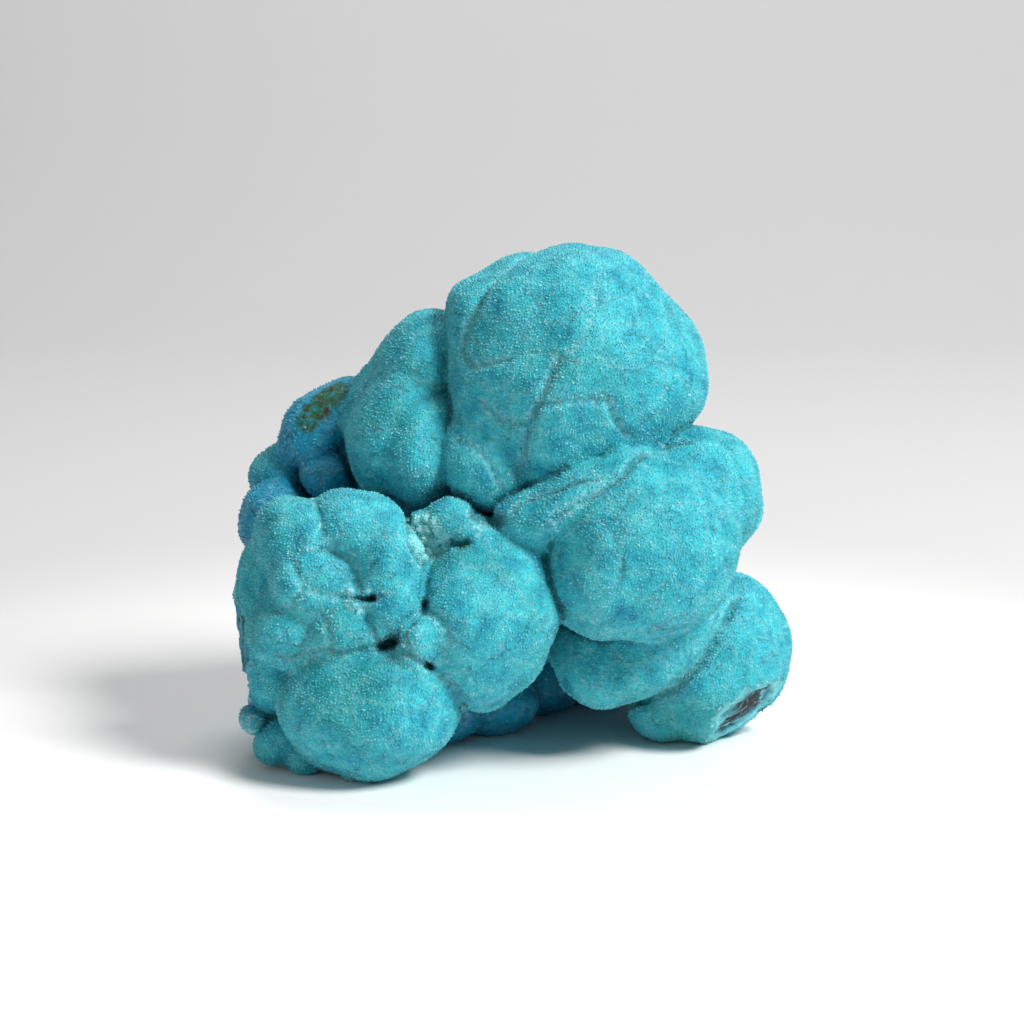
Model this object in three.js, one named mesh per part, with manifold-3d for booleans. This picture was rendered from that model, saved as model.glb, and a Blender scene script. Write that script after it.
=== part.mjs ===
// A botryoidal chrysocolla specimen: one mass of rounded, grape-like lobes that grew into each other,
// broken off its rock at the back and the left, and chipped at the lower right.
// Millimetres, +Z up, +X to the right and +Y away from a viewer in front.
import * as THREE from "three";
import { SimplifyModifier } from "three/addons/modifiers/SimplifyModifier.js";
import { mergeVertices } from "three/addons/utils/BufferGeometryUtils.js";
import Module from "manifold-3d";

const WIDTH = 83; // the specimen's width, from which every other size follows
const FACET = 2.9; // about the length of a facet's edge on a lobe, before the form is simplified
const LEAST_DETAIL = 2; // how often the smallest lobe's twenty faces are split
const TRIANGLES = 9400; // about how many are left once it is
const FLOOR = 1.2; // the height at which the feet are worn flat
const TEAL = "#3aa7b8";

// The planes that the back broke along.
const BACK = ["back_left", "back_right", "back_upper", "back_lower"];
const UPPER_BACK = ["upper_left", ...BACK];

// Each lobe is an ellipsoid at a centre, turned clockwise in the X-Z plane by tilt degrees.
// buds: shallow caps placed by hand, as [azimuth, elevation, half width, how far it stands proud].
// Azimuth 0 faces the viewer, 90 faces right and 180 faces back, in degrees.
// breaks: the fracture planes that cut the lobe.
const LOBES = [
  // The hidden middle that every lobe grew from.
  { name: "core_left", at: [-20, 26, 38], radii: [9, 8, 8], tilt: 0 },
  { name: "core_right", at: [20, 20, 25], radii: [10, 10, 10], tilt: 0 },
  { name: "core", at: [0, 30, 34], radii: [26, 17, 24], tilt: 0, breaks: BACK },

  // The big ball on top.
  {
    name: "crown", at: [8.6, 22, 56.2], radii: [19.6, 19, 19.6], tilt: 0,
    buds: [
      [-40, 44, 6.5, 0.9], [16, 43, 8, 0.9], [-34, 17, 5.5, 0.8], [-44, -9, 5.5, 1], [-8, -24, 6, 1],
      [-12, -2, 5, 0.8], [24, 2, 6, 0.9], [32, -19, 6, 0.9], [53, 4, 7, 0.9], [54, 36, 7, 0.6],
      [-6, 21, 5.5, 0.8], [-16, 72, 7, 0.9], [62, 58, 7, 0.5],
      [98, 10, 9, 0.9], [140, 42, 9, 0.9], [140, -6, 9, 0.9], [-165, 14, 9, 0.9], [-135, 50, 8, 0.9],
    ],
  },
  { name: "crown_shoulder", at: [-1, 20, 63.6], radii: [10.2, 11, 10.6], tilt: 0 },
  { name: "crown_jowl", at: [-2.4, 13.5, 46.6], radii: [7.4, 8, 8.2], tilt: 0 },

  // The long lobe at the crown's left, with the bluer lobes that step down behind it.
  { name: "wing", at: [-14.8, 24, 50.5], radii: [7.2, 10, 13], tilt: 0 },
  { name: "wing_top", at: [-12.8, 23, 58.2], radii: [5.8, 9, 8], tilt: 22 },
  { name: "wing_outer", at: [-17.6, 20, 49], radii: [6.8, 9, 9.8], tilt: 10 },
  { name: "wing_inner", at: [-11.6, 16.5, 46], radii: [6.8, 8.4, 8.6], tilt: 0 },
  { name: "wing_back", at: [-19.4, 27, 52], radii: [5.4, 8, 8], tilt: 32 },
  { name: "step_long", at: [-26.4, 32, 45.6], radii: [8.4, 7, 4.3], tilt: -38 },
  { name: "step_small", at: [-25.4, 28, 40.6], radii: [5, 6, 5.2], tilt: -30 },
  { name: "step_low", at: [-33.6, 27, 34], radii: [8.4, 9, 6], tilt: -18 },
  { name: "step_high", at: [-25.6, 38, 46], radii: [11, 8, 8], tilt: -40, breaks: UPPER_BACK },
  { name: "step_outer", at: [-33.6, 34, 36.6], radii: [7, 8, 7], tilt: -38, breaks: UPPER_BACK },

  // The right side, from the ridge under the crown to the heel at the lower right.
  { name: "ridge", at: [7.5, 9, 40.3], radii: [12.5, 7, 4.4], tilt: -25 },
  { name: "ridge_end", at: [2, 7.5, 36.9], radii: [4.2, 4.6, 3.9], tilt: 0 },
  {
    name: "cheek", at: [18.3, 9, 33.4], radii: [15.4, 14.6, 13.8], tilt: -30,
    buds: [
      [-42, -30, 7.5, 1.1], [-20, 8, 7.5, 0.7], [28, -8, 8, 0.7], [8, 38, 9, 0.8], [8, -40, 7.5, 0.8],
      [55, 22, 8, 0.6],
    ],
  },
  { name: "cheek_far", at: [27.4, 17, 39.8], radii: [9.7, 11, 10.8], tilt: 0 },
  { name: "tongue", at: [20.7, 11, 17.6], radii: [13.2, 9, 6.6], tilt: -38 },
  { name: "tongue_tip", at: [14.4, 9, 14.6], radii: [6.9, 6.5, 6.3], tilt: -10 },
  { name: "tongue_root", at: [10.4, 12, 16.6], radii: [4.2, 5, 4.2], tilt: 0 },
  {
    name: "heel", at: [29.3, 21, 13.6], radii: [13.9, 12.6, 12], tilt: -50, breaks: ["chip"],
    buds: [[-12, 20, 8, 0.6], [42, 22, 8, 0.6], [8, -22, 7.5, 0.6], [105, 20, 8, 0.7]],
  },
  { name: "heel_toe", at: [22.3, 18, 6.6], radii: [5.8, 6.5, 5.6], tilt: 0 },

  // The knobbly fist at the lower left.
  { name: "fist", at: [-18, 12, 20], radii: [18, 16, 17], tilt: 0 },
  { name: "fist_back", at: [-27.5, 21, 21], radii: [11.5, 11, 14], tilt: 0 },
  {
    name: "fist_base", at: [-21, 2, 11.8], radii: [13.6, 12.6, 10.6], tilt: 0,
    buds: [[-42, 8, 7, 0.8], [40, 10, 7.5, 0.8], [-2, -20, 7.5, 0.7], [-4, 30, 7, 0.7]],
  },
  {
    name: "fist_right", at: [-4.6, 5, 23.6], radii: [10.9, 12.6, 14], tilt: 14,
    buds: [[-8, 32, 7, 0.8], [42, 10, 7, 0.7], [4, -8, 7, 0.7], [-22, -34, 6.5, 0.8]],
  },
  { name: "fist_right_top", at: [-1.8, 6, 31], radii: [6.5, 8, 7], tilt: 0 },
  { name: "fist_rim", at: [-7.6, 6, 36.6], radii: [5.6, 6, 3.6], tilt: 0 },
  { name: "fist_top", at: [-22, 5, 36.3], radii: [7.6, 9, 6.6], tilt: 0 },
  { name: "fist_top_right", at: [-18.2, 1, 32.8], radii: [5.6, 7, 7.5], tilt: 0 },
  { name: "fist_middle", at: [-17.2, 0, 28.2], radii: [5.2, 6.6, 5.7], tilt: 0 },
  { name: "fist_middle_low", at: [-19, 0, 23.5], radii: [4.6, 6, 5], tilt: 0 },
  { name: "fist_bulb", at: [-21.8, -4.2, 29.4], radii: [2.6, 2.8, 2.7], tilt: 0 },
  { name: "fist_left_top", at: [-31.6, 8, 35], radii: [7.4, 10, 6.6], tilt: 0 },
  { name: "fist_left_edge", at: [-34.8, 12, 28.1], radii: [5.3, 9, 9], tilt: 0, breaks: ["flank"] },
  { name: "fist_left", at: [-28, 1, 30.3], radii: [7.4, 8, 6.5], tilt: 0 },
  { name: "fist_left_low", at: [-30.8, 2, 22.8], radii: [7.2, 8.5, 7], tilt: 0 },
  { name: "fist_left_inner", at: [-24, -1, 24], radii: [5.6, 7, 6.5], tilt: 0 },
  { name: "fist_flank", at: [-33.4, 12, 18.8], radii: [8.4, 11, 14.5], tilt: 0, breaks: ["flank"] },
  { name: "fist_knob", at: [-12.7, -4.8, 22.7], radii: [3.8, 4.7, 4], tilt: 0 },
  { name: "crumb_bed", at: [-12.4, 6.4, 34.6], radii: [3.8, 4, 4.4], tilt: 0 },
  { name: "pebble_outer", at: [-38.2, 6, 7.6], radii: [2.2, 3, 2.2], tilt: 0 },
  { name: "pebble_middle", at: [-34.2, 4, 4.4], radii: [4.1, 4, 3.6], tilt: 0 },
  { name: "pebble_inner", at: [-30.6, 1, 3.2], radii: [3.2, 3, 2.6], tilt: 0 },
  { name: "foot_grain", at: [-23.6, -3, 2.2], radii: [1.7, 1.6, 1.3], tilt: 0 },

  // The blue lobes low at the back, and the back that the rock was broken from.
  { name: "rear_left", at: [-5, 24, 6.3], radii: [9, 8, 6.5], tilt: 0 },
  { name: "rear_front", at: [-11, 16, 5.6], radii: [6.4, 6, 5.4], tilt: 0 },
  { name: "rear_middle", at: [4.5, 36, 6.5], radii: [8.5, 9, 6.7], tilt: 0 },
  { name: "rear_right", at: [13, 41, 7], radii: [9, 9, 7.2], tilt: 0 },
  { name: "rear_far", at: [25, 34, 13], radii: [8, 8, 8], tilt: 0 },
  { name: "rear_cheek", at: [23.4, 31, 27], radii: [8.4, 9, 9.6], tilt: 0 },
  { name: "back_step", at: [-18, 33.5, 42], radii: [12, 11, 10], tilt: -35, breaks: UPPER_BACK },
  { name: "nape_left", at: [-7, 34, 50], radii: [9, 8.6, 9], tilt: 0 },
  { name: "nape_right", at: [17, 35, 43.6], radii: [9.4, 8.6, 9], tilt: 0 },
  { name: "back_low", at: [-18, 34, 16], radii: [13, 11, 12], tilt: 0, breaks: BACK },
  { name: "back_foot", at: [-1, 36, 21], radii: [13, 10, 9], tilt: 0, breaks: BACK },
  { name: "back_left", at: [-21, 37, 30], radii: [14, 11, 13], tilt: 0, breaks: BACK },
  { name: "back_middle", at: [-3, 38, 34], radii: [15, 12, 15], tilt: 0, breaks: BACK },
  { name: "back_right", at: [13, 37, 26], radii: [13, 12, 13], tilt: 0, breaks: BACK },
];

// The crumbs grown in the pit behind the fist's rim, as [x, y, z, radius].
const CRUMBS = [
  [-13.3, 4, 38.1, 1.3], [-11.6, 4.6, 37.2, 1.5], [-10.9, 4.2, 35.6, 1.4], [-12.8, 3.6, 35.6, 1.5],
  [-11.3, 3.1, 34.2, 1.7], [-12.2, 2.2, 32.8, 1.4], [-10.4, 2.8, 33, 1.3], [-13.6, 5, 36.6, 1.2],
];

// The fracture planes: a point on each, and the normal that points out of the specimen.
const BREAKS = {
  chip: { at: [36.2, 16, 8.6], normal: [0.62, -0.38, -0.69] },
  flank: { at: [-39.3, 8, 20], normal: [-0.98, -0.14, -0.08] },
  upper_left: { at: [-25.4, 38, 52.8], normal: [-0.74, 0.06, 0.67] },
  back_left: { at: [-14, 43.5, 30], normal: [-0.3, 0.95, 0.03] },
  back_right: { at: [8, 45, 28], normal: [0.32, 0.94, 0.05] },
  back_upper: { at: [-2, 43, 38], normal: [0.04, 0.86, 0.5] },
  back_lower: { at: [-2, 42.5, 17], normal: [-0.06, 0.88, -0.46] },
};

// The slow drift that keeps the lobes from being true ellipsoids, as waves along each axis:
// [the axis moved, the axis it runs along, how far, wavelength, phase in radians].
const DRIFT = [
  [0, 2, 0.55, 27, 0.4], [0, 1, 0.4, 19, 1.7], [1, 0, 0.5, 23, 2.6], [1, 2, 0.4, 16, 0.9],
  [2, 0, 0.5, 25, 4.1], [2, 1, 0.4, 21, 5.2], [0, 2, 0.22, 9.5, 3.3], [2, 0, 0.22, 8.5, 1.1],
];

// The unit vector at an azimuth and elevation in degrees.
function direction(azimuth, elevation) {
  const a = THREE.MathUtils.degToRad(azimuth);
  const e = THREE.MathUtils.degToRad(elevation);
  return new THREE.Vector3(Math.sin(a) * Math.cos(e), -Math.cos(a) * Math.cos(e), Math.sin(e));
}

// A bud is a ball that breaks the lobe's surface in a cap of the stated half width and height.
function budBall(lobe, [azimuth, elevation, halfWidth, proud]) {
  const towards = direction(azimuth, elevation);
  const tilt = THREE.MathUtils.degToRad(lobe.tilt);
  const inLobe = towards.clone().applyAxisAngle(new THREE.Vector3(0, 1, 0), -tilt);
  const reach = 1 / inLobe.divide(new THREE.Vector3(...lobe.radii)).length();
  const mean = (lobe.radii[0] + lobe.radii[1] + lobe.radii[2]) / 3;
  const radius = 1 / (1 / mean + (2 * proud) / (halfWidth * halfWidth));
  const centre = towards.multiplyScalar(reach + proud - radius).add(new THREE.Vector3(...lobe.at));
  return ball(centre.toArray(), [radius, radius, radius], 0);
}

// Drift moves a point a little, by waves that every lobe shares.
function drift(point) {
  const moved = point.toArray();
  for (const [axis, along, distance, wavelength, phase] of DRIFT)
    moved[axis] += distance * Math.sin((2 * Math.PI * point.getComponent(along)) / wavelength + phase);
  return moved;
}

// An ellipsoid of facets, drifted out of true.
function ball(at, radii, tilt) {
  const mean = (radii[0] + radii[1] + radii[2]) / 3;
  const detail = Math.max(LEAST_DETAIL, Math.round(mean / FACET));
  const geometry = new THREE.IcosahedronGeometry(1, detail)
    .scale(...radii)
    .rotateY(THREE.MathUtils.degToRad(tilt))
    .translate(...at);
  const positions = geometry.attributes.position;
  const point = new THREE.Vector3();
  for (let i = 0; i < positions.count; i++)
    positions.setXYZ(i, ...drift(point.fromBufferAttribute(positions, i)));
  return geometry;
}

// The block of rock that a fracture took away, from its plane outwards.
function brokenAway({ at, normal }) {
  const size = 2 * WIDTH;
  const outwards = new THREE.Vector3(...normal).normalize();
  const turn = new THREE.Quaternion().setFromUnitVectors(new THREE.Vector3(0, 0, 1), outwards);
  return new THREE.BoxGeometry(size, size, size)
    .translate(0, 0, size / 2)
    .applyQuaternion(turn)
    .translate(...at);
}

const wasm = await Module();
wasm.setup();

// A closed geometry as a manifold-3d solid.
function solid(geometry) {
  geometry.deleteAttribute("normal");
  geometry.deleteAttribute("uv");
  const merged = mergeVertices(geometry);
  return new wasm.Manifold(
    new wasm.Mesh({
      numProp: 3,
      vertProperties: new Float32Array(merged.attributes.position.array),
      triVerts: new Uint32Array(merged.index.array),
    }),
  );
}

const joined = (solids) => solids.reduce((whole, next) => whole.add(next));

// A lobe with all its buds.
function lobeSolid(lobe) {
  const buds = (lobe.buds ?? []).map((bud) => solid(budBall(lobe, bud)));
  return joined([solid(ball(lobe.at, lobe.radii, lobe.tilt)), ...buds]);
}

// The lobes that broke along the same planes, grown into one and then broken.
function brokenLobes(lobes) {
  let left = joined(lobes.map(lobeSolid));
  for (const name of lobes[0].breaks ?? []) left = left.subtract(solid(brokenAway(BREAKS[name])));
  return left;
}

function geometryOf(made) {
  const mesh = made.getMesh();
  return new THREE.BufferGeometry()
    .setAttribute("position", new THREE.BufferAttribute(mesh.vertProperties.slice(), 3))
    .setIndex(new THREE.BufferAttribute(mesh.triVerts.slice(), 1));
}

// The same form with fewer triangles: the slivers along the joins go first.
async function simplified(geometry) {
  const kept = TRIANGLES / 2;
  return new SimplifyModifier().modify(geometry, Math.max(0, geometry.attributes.position.count - kept));
}

// All the lobes grown into one, worn flat where it stands, and placed with the middle
// of its footprint at the origin.
async function specimenGeometry() {
  const crumbs = CRUMBS.map(([x, y, z, radius]) => solid(ball([x, y, z], [radius, radius, radius], 0)));
  const lobesByBreaks = [...Map.groupBy(LOBES, (lobe) => String(lobe.breaks)).values()];
  const grown = joined([...lobesByBreaks.map(brokenLobes), ...crumbs]);
  const ground = new THREE.BoxGeometry(3 * WIDTH, 3 * WIDTH, WIDTH).translate(0, 0, FLOOR - WIDTH / 2);
  const geometry = await simplified(geometryOf(grown.subtract(solid(ground))));
  geometry.computeBoundingBox();
  const middle = geometry.boundingBox.getCenter(new THREE.Vector3());
  return geometry.translate(-middle.x, -middle.y, -FLOOR);
}

const specimen = new THREE.Mesh(
  await specimenGeometry(),
  new THREE.MeshStandardMaterial({ color: TEAL, roughness: 0.55, metalness: 0, flatShading: true }),
);
specimen.name = "chrysocolla_cluster";

const group = new THREE.Group();
group.add(specimen);
export default group;
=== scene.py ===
import math

import bpy
import numpy as np
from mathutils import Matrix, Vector
from numpy.linalg import norm


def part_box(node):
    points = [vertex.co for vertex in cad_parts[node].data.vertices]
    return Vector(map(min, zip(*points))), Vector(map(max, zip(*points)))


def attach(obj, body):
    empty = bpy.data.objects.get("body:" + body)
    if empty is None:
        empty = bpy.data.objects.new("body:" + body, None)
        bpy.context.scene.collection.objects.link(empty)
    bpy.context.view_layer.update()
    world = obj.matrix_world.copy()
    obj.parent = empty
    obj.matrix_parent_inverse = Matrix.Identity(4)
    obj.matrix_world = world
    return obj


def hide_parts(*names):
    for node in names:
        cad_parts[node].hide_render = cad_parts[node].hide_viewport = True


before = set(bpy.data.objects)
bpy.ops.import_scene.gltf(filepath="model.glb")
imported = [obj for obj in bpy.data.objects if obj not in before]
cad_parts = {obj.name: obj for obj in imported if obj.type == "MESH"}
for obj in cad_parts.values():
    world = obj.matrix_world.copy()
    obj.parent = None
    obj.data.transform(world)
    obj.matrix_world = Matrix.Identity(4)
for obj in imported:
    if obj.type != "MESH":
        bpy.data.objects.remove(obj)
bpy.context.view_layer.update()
NODE = "chrysocolla_cluster"
MM = 0.001

# The form. Each lobe is an ellipsoid at a centre, turned clockwise in the X-Z plane by tilt degrees.
# buds: shallow caps, as (azimuth, elevation, half width, how far it stands proud).
# bare: how far the lobe is without its druse, where 1 shows only smooth, deeper blue chrysocolla.
FLOOR = 1.2  # the height at which the feet are worn flat
BACK = ("back_left", "back_right", "back_upper", "back_lower")
UPPER_BACK = ("upper_left", *BACK)


def lobe(at, radii, tilt=0, buds=(), breaks=(), bare=0.0):
    at, radii = np.array(at, float), np.array(radii, float)
    return {"at": at, "radii": radii, "tilt": tilt, "buds": buds, "breaks": breaks, "bare": bare}


LOBES = {
    "core_left": lobe((-18, 30, 38), (8, 8, 8), bare=0.9),
    "core_right": lobe((20, 20, 25), (10, 10, 10)),
    "core": lobe((0, 30, 34), (26, 17, 24), breaks=BACK, bare=0.7),
    # The big ball on top.
    "crown": lobe(
        (8.6, 22, 56.2), (19.6, 19, 19.6),
        buds=[
            (-40, 44, 6.5, 0.9), (16, 43, 8, 0.9), (-34, 17, 5.5, 0.8), (-44, -9, 5.5, 1), (-8, -24, 6, 1),
            (-12, -2, 5, 0.8), (24, 2, 6, 0.9), (32, -19, 6, 0.9), (53, 4, 7, 0.9), (54, 36, 7, 0.6),
            (-6, 21, 5.5, 0.8), (-16, 72, 7, 0.9), (62, 58, 7, 0.5),
            (98, 10, 9, 0.9), (140, 42, 9, 0.9), (140, -6, 9, 0.9), (-165, 14, 9, 0.9), (-135, 50, 8, 0.9),
        ],
    ),
    "crown_shoulder": lobe((-0.6, 20, 62.6), (10, 11, 10.4)),
    "crown_jowl": lobe((-2.4, 13.2, 45.2), (7.4, 8, 8.2)),
    # The long lobe at the crown's left, with the bluer lobes that step down behind it.
    "wing": lobe((-15.4, 24.8, 50.5), (7.2, 10, 13)),
    "wing_top": lobe((-13.4, 24, 58.2), (5.8, 9, 8), 22),
    "wing_outer": lobe((-17.6, 20, 49), (6.8, 9, 9.8), 10),
    "wing_inner": lobe((-12.4, 17, 46), (6.6, 8.4, 8.8)),
    "wing_back": lobe((-19.4, 27, 52), (5.4, 8, 8), 32, bare=0.2),
    "step_long": lobe((-28, 30, 47.4), (9, 7, 5), -50, bare=0.9),
    "step_small": lobe((-27.4, 24, 41), (4, 5.2, 4), -30, bare=0.8),
    "step_low": lobe((-35.6, 25, 33.8), (6.4, 8, 5.6), -30, bare=0.8),
    "step_high": lobe((-25.6, 38, 46), (11, 8, 8), -40, breaks=UPPER_BACK, bare=0.8),
    "step_outer": lobe((-33.6, 34, 37), (7, 8, 7), -38, breaks=UPPER_BACK, bare=0.3),
    # The right side, from the ridge under the crown to the heel at the lower right.
    "ridge": lobe((7.5, 6, 40.6), (12.5, 7, 4), -25),
    "ridge_end": lobe((1.8, 5.6, 36.7), (4.6, 4.8, 4.4)),
    "cheek": lobe(
        (18.3, 9, 33.4), (15.4, 14.6, 13.8), -30,
        buds=[
            (-42, -30, 7.5, 1.1), (-20, 8, 7.5, 0.7), (28, -8, 8, 0.7), (8, 38, 9, 0.8), (8, -40, 7.5, 0.8),
            (55, 22, 8, 0.6),
        ],
    ),
    "cheek_far": lobe((27.9, 17, 39.8), (9.7, 11, 10.8)),
    "tongue": lobe((20.7, 11, 17.6), (13.2, 9, 6.6), -38),
    "tongue_tip": lobe((14.4, 9, 14.6), (6.9, 6.5, 6.3), -10),
    "tongue_root": lobe((10.4, 12, 16.6), (4.2, 5, 4.2)),
    "heel": lobe(
        (29.3, 21, 13.6), (13.9, 12.6, 12), -50, breaks=("chip",),
        buds=[(-12, 20, 8, 0.6), (42, 22, 8, 0.6), (8, -22, 7.5, 0.6), (105, 20, 8, 0.7)],
    ),
    "heel_toe": lobe((22.3, 18, 6.6), (5.8, 6.5, 5.6), bare=0.3),
    # The knobbly fist at the lower left.
    "fist": lobe((-18, 12, 20), (18, 16, 17)),
    "fist_back": lobe((-27.5, 21, 21), (11.5, 11, 14), bare=0.5),
    "fist_base": lobe(
        (-20.2, 2, 12.2), (14.6, 12.6, 10), -18,
        buds=[(-42, 8, 7, 0.8), (40, 10, 7.5, 0.8), (-2, -20, 7.5, 0.7), (-4, 30, 7, 0.7)],
    ),
    "fist_right": lobe(
        (-4.6, 5, 23.6), (10.9, 12.6, 14), 14,
        buds=[(-8, 32, 7, 0.8), (42, 10, 7, 0.7), (4, -8, 7, 0.7), (-22, -34, 6.5, 0.8)],
    ),
    "fist_right_top": lobe((-1.8, 6, 31), (6.5, 8, 7)),
    "fist_rim": lobe((-7.6, 6, 36.6), (5.6, 6, 3.6)),
    "fist_top": lobe((-22, 5, 36.3), (7.6, 9, 6.6)),
    "fist_top_right": lobe((-18.2, 1, 32.8), (5.6, 7, 7.5)),
    "fist_middle": lobe((-17.2, 0, 28.2), (5.2, 6.6, 5.7)),
    "fist_middle_low": lobe((-19, 0, 23.5), (4.6, 6, 5)),
    "fist_bulb": lobe((-21.8, -4.2, 29.4), (2.6, 2.8, 2.7)),
    "fist_left_top": lobe((-30.8, 8, 33.8), (7.2, 10, 6.5)),
    "fist_top_left": lobe((-28, 4.5, 34.8), (5, 8, 6)),
    "fist_left_edge": lobe((-34.8, 12, 27.8), (5.3, 9, 8.2), breaks=("flank",)),
    "fist_left": lobe((-28, 1, 30.3), (7.4, 8, 6.5)),
    "fist_left_low": lobe((-30.8, 2.6, 22.8), (7.4, 8, 7.2)),
    "fist_left_inner": lobe((-24, -1, 24), (5.6, 7, 6.5)),
    "fist_flank": lobe((-33.4, 12, 18.8), (8.4, 11, 14.5), breaks=("flank",), bare=0.3),
    "fist_knob": lobe((-12.6, -4.6, 22), (3.5, 4.7, 4.7)),
    "crumb_bed": lobe((-12.4, 6.4, 34.6), (3.8, 4, 4.4)),
    "pebble_outer": lobe((-38.2, 6, 7.6), (2.2, 3, 2.2), bare=0.3),
    "pebble_middle": lobe((-34.2, 4, 4.4), (4.1, 4, 3.6), bare=0.3),
    "pebble_inner": lobe((-30.6, 1, 3.2), (3.2, 3, 2.6), bare=0.2),
    "foot_grain": lobe((-23.6, -3, 2.2), (1.7, 1.6, 1.3)),
    # The blue lobes low at the back, and the back that the rock was broken from.
    "rear_left": lobe((-5, 24, 6.3), (9, 8, 6.5), bare=1),
    "rear_front": lobe((-11, 16, 5.6), (6.4, 6, 5.4), bare=1),
    "rear_middle": lobe((4.5, 36, 6.5), (8.5, 9, 6.7), bare=1),
    "rear_right": lobe((13, 41, 7), (9, 9, 7.2), bare=1),
    "rear_far": lobe((25, 34, 13), (8, 8, 8), bare=0.8),
    "rear_cheek": lobe((23.4, 31, 27), (8.4, 9, 9.6), bare=0.6),
    "back_step": lobe((-18, 33.5, 42), (12, 11, 10), -35, breaks=UPPER_BACK, bare=0.8),
    "nape_left": lobe((-7, 34, 50), (9, 8.6, 9), bare=0.4),
    "nape_right": lobe((17, 35, 43.6), (9.4, 8.6, 9), bare=0.4),
    "back_low": lobe((-18, 34, 16), (13, 11, 12), breaks=BACK, bare=0.9),
    "back_foot": lobe((-1, 36, 21), (13, 10, 9), breaks=BACK, bare=0.9),
    "back_left": lobe((-21, 37, 30), (14, 11, 13), breaks=BACK, bare=0.8),
    "back_middle": lobe((-3, 38, 34), (15, 12, 15), breaks=BACK, bare=0.8),
    "back_right": lobe((13, 37, 26), (13, 12, 13), breaks=BACK, bare=0.7),
}

# The crumbs grown in the pit behind the fist's rim: a pixel of the photograph, and the radius in mm.
CRUMBS = [
    (417, 521, 0.9), (425, 519, 1.0), (433, 523, 1.0), (419, 531, 1.0), (428, 530, 1.2), (437, 531, 1.1),
    (424, 540, 1.2), (433, 541, 1.3), (441, 540, 1.0), (420, 549, 1.0), (428, 551, 1.2), (437, 549, 1.0),
    (424, 559, 0.9), (431, 558, 0.8), (446, 535, 0.7), (444, 547, 0.8), (414, 540, 0.8),
]
CRUMB_SINK = 0.7  # how far behind the form's surface the crumbs sit, in mm

# The fracture planes: a point on each, and the normal that points out of the specimen.
BREAKS = {
    "chip": ((36.2, 13.2, 9), (0.62, -0.53, -0.58)),
    "flank": ((-39.3, 8, 20), (-0.98, -0.14, -0.08)),
    "upper_left": ((-28.5, 34, 50.6), (-0.5, -0.3, 0.81)),
    "back_left": ((-14, 43.5, 30), (-0.3, 0.95, 0.03)),
    "back_right": ((8, 45, 28), (0.32, 0.94, 0.05)),
    "back_upper": ((-2, 43, 38), (0.04, 0.86, 0.5)),
    "back_lower": ((-2, 42.5, 17), (-0.06, 0.88, -0.46)),
}

# The slow drift that keeps the lobes from being true ellipsoids:
# (the axis moved, the axis it runs along, how far, wavelength, phase in radians).
DRIFT = [
    (0, 2, 0.55, 27, 0.4), (0, 1, 0.4, 19, 1.7), (1, 0, 0.5, 23, 2.6), (1, 2, 0.4, 16, 0.9),
    (2, 0, 0.5, 25, 4.1), (2, 1, 0.4, 21, 5.2), (0, 2, 0.22, 9.5, 3.3), (2, 0, 0.22, 8.5, 1.1),
]

# Where the upper left lobe is stained green and brown: a pixel of the photograph, and the radius in mm.
STAINS = [(337, 391, 2.4), (327, 397, 2.9), (317, 407, 3), (308, 421, 2.4)]
STAIN_FADE = 0.9  # how far in from its rim a stain grows full

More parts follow.
